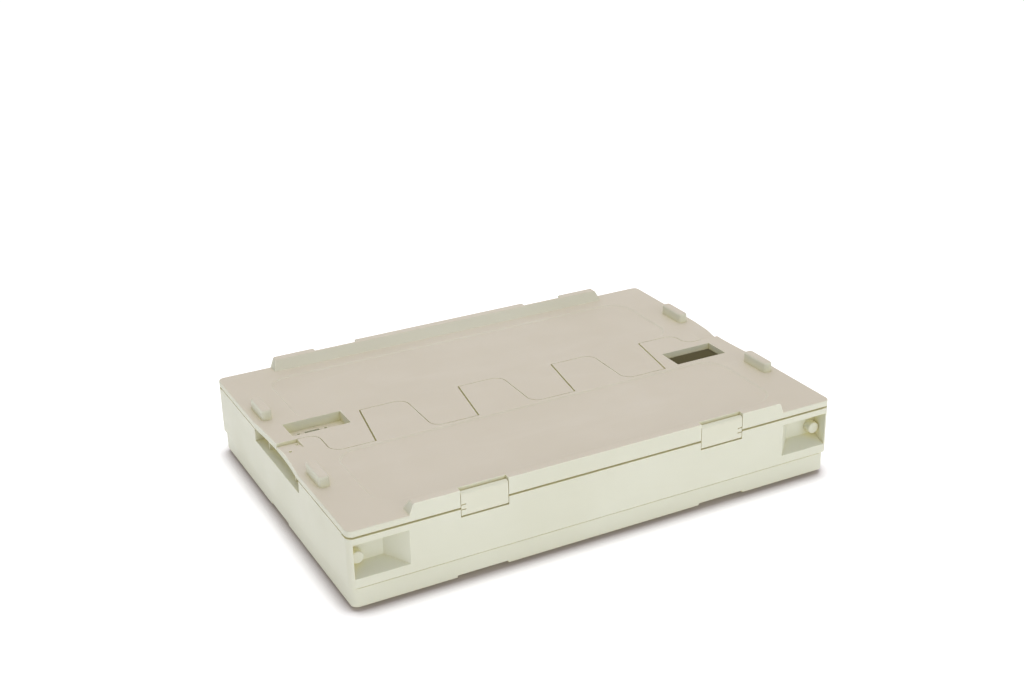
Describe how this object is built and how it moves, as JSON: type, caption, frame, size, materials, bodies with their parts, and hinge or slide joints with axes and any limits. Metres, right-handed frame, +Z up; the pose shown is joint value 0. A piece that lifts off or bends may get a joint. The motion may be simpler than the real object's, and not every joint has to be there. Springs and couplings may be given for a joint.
{
  "type": "folding stacking crate",
  "caption": "Ivory folding plastic crate with a split interlocking lid, shown collapsed flat; its sides unfold, its leaves swing open.",
  "frame": {"origin": "centre of the underside of the stacking foot, on the surface the crate stands on", "axes": "+X along the long sides towards the right end, +Y towards the back long side, +Z up"},
  "size_m": [0.53, 0.37, 0.0955],
  "materials": {
    "base_shell": "moulded matt ivory",
    "frame_shell": "moulded matt ivory",
    "lid_shell": "moulded fine-grain ivory",
    "wall_panel": "moulded matt ivory",
    "hinge_plastic": "moulded satin ivory",
    "steel": "drawn wire"
  },
  "bodies": {
    "base": {"base_tray": "base_shell", "front_base_hinge_rod": "steel", "back_base_hinge_rod": "steel"},
    "front_lower": {"front_lower_panel": "wall_panel", "front_middle_hinge_rod": "steel"},
    "front_upper": {"front_upper_panel": "wall_panel"},
    "frame": {"top_frame": "frame_shell", "front_top_hinge_rod": "steel", "back_top_hinge_rod": "steel", "front_left_link_lower_pin": "steel", "front_right_link_lower_pin": "steel", "back_left_link_lower_pin": "steel", "back_right_link_lower_pin": "steel", "right_end_front_pin": "hinge_plastic", "right_end_back_pin": "hinge_plastic", "left_end_front_pin": "hinge_plastic", "left_end_back_pin": "hinge_plastic"},
    "back_upper": {"back_upper_panel": "wall_panel"},
    "back_lower": {"back_lower_panel": "wall_panel", "back_middle_hinge_rod": "steel"},
    "left_end": {"left_end_panel": "wall_panel"},
    "right_end": {"right_end_panel": "wall_panel"},
    "front_links": {"front_left_hinge_link": "hinge_plastic", "front_right_hinge_link": "hinge_plastic"},
    "front_leaf": {"front_lid": "lid_shell", "front_left_link_upper_pin": "steel", "front_right_link_upper_pin": "steel"},
    "back_links": {"back_left_hinge_link": "hinge_plastic", "back_right_hinge_link": "hinge_plastic"},
    "back_leaf": {"back_lid": "lid_shell", "back_left_link_upper_pin": "steel", "back_right_link_upper_pin": "steel"}
  },
  "joints": [
    {"name": "side_fold", "type": "hinge", "parent": "base", "child": "front_lower", "pos_m": [0, -0.169, 0.015], "axis": [1, 0, 0], "range_deg": [0, 90]},
    {"name": "front_mid_fold", "type": "hinge", "parent": "front_lower", "child": "front_upper", "pos_m": [0, -0.037, 0.027], "axis": [1, 0, 0], "range_deg": [-180, 0]},
    {"name": "front_top_fold", "type": "hinge", "parent": "front_upper", "child": "frame", "pos_m": [0, -0.169, 0.039], "axis": [1, 0, 0], "range_deg": [0, 90]},
    {"name": "back_top_fold", "type": "hinge", "parent": "frame", "child": "back_upper", "pos_m": [0, 0.169, 0.039], "axis": [1, 0, 0], "range_deg": [0, 90]},
    {"name": "back_mid_fold", "type": "hinge", "parent": "back_upper", "child": "back_lower", "pos_m": [0, 0.037, 0.027], "axis": [1, 0, 0], "range_deg": [-180, 0]},
    {"name": "left_end_swing", "type": "hinge", "parent": "frame", "child": "left_end", "pos_m": [-0.253, 0, 0.051], "axis": [0, 1, 0], "range_deg": [0, 90]},
    {"name": "right_end_swing", "type": "hinge", "parent": "frame", "child": "right_end", "pos_m": [0.253, 0, 0.051], "axis": [0, -1, 0], "range_deg": [0, 90]},
    {"name": "front_link_swing", "type": "hinge", "parent": "frame", "child": "front_links", "pos_m": [0.1305, -0.182, 0.071], "axis": [1, 0, 0], "range_deg": [0, 90]},
    {"name": "front_lid_open", "type": "hinge", "parent": "front_links", "child": "front_leaf", "pos_m": [0.1305, -0.182, 0.09], "axis": [1, 0, 0], "range_deg": [0, 180]},
    {"name": "back_link_swing", "type": "hinge", "parent": "frame", "child": "back_links", "pos_m": [0.1305, 0.182, 0.071], "axis": [-1, 0, 0], "range_deg": [0, 90]},
    {"name": "back_lid_open", "type": "hinge", "parent": "back_links", "child": "back_leaf", "pos_m": [0.1305, 0.182, 0.09], "axis": [-1, 0, 0], "range_deg": [0, 180]}
  ],
  "couplings": [
    {"joint": "front_mid_fold", "follows": "side_fold", "ratio": -2},
    {"joint": "front_top_fold", "follows": "side_fold", "ratio": 1},
    {"joint": "back_top_fold", "follows": "side_fold", "ratio": 1},
    {"joint": "back_mid_fold", "follows": "side_fold", "ratio": -2},
    {"joint": "left_end_swing", "follows": "side_fold", "ratio": 0.02},
    {"joint": "right_end_swing", "follows": "side_fold", "ratio": 0.02},
    {"joint": "front_link_swing", "follows": "front_lid_open", "ratio": 0.5},
    {"joint": "back_link_swing", "follows": "back_lid_open", "ratio": 0.5}
  ]
}
